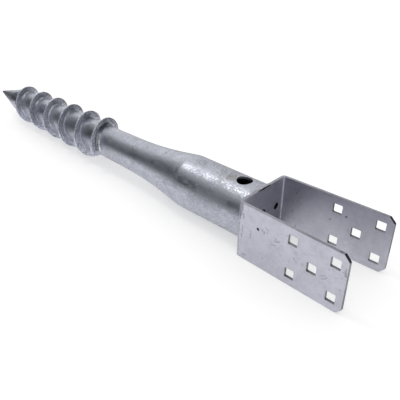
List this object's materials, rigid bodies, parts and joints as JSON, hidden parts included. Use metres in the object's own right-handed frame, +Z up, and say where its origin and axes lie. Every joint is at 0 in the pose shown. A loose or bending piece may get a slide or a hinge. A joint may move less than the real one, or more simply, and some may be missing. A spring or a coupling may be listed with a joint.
{
  "type": "ground screw",
  "caption": "Galvanised ground screw: a swaged, pointed steel tube with a welded helical flight, and a folded U bracket with square bolt holes that holds a timber post.",
  "frame": {"origin": "middle of the seat, the face inside the bracket that the post stands on, on the screw's axis", "axes": "+X along the screw's axis from the point to the bracket's open end, +Y across the bracket from leg to leg, +Z up as the screw lies on the long edges of its bracket"},
  "size_m": [0.6649, 0.0876, 0.066],
  "materials": {
    "zinc_tube": "hot-dip galvanised, satin",
    "zinc_bracket": "hot-dip galvanised, dull",
    "zinc_flight": "hot-dip galvanised, mottled",
    "zinc_weld": "weld bead under hot-dip zinc"
  },
  "bodies": {
    "root": {"shaft_tube": "zinc_tube", "post_bracket": "zinc_bracket", "helical_flight": "zinc_flight", "bracket_weld": "zinc_weld", "flight_weld": "zinc_weld"}
  },
  "joints": []
}
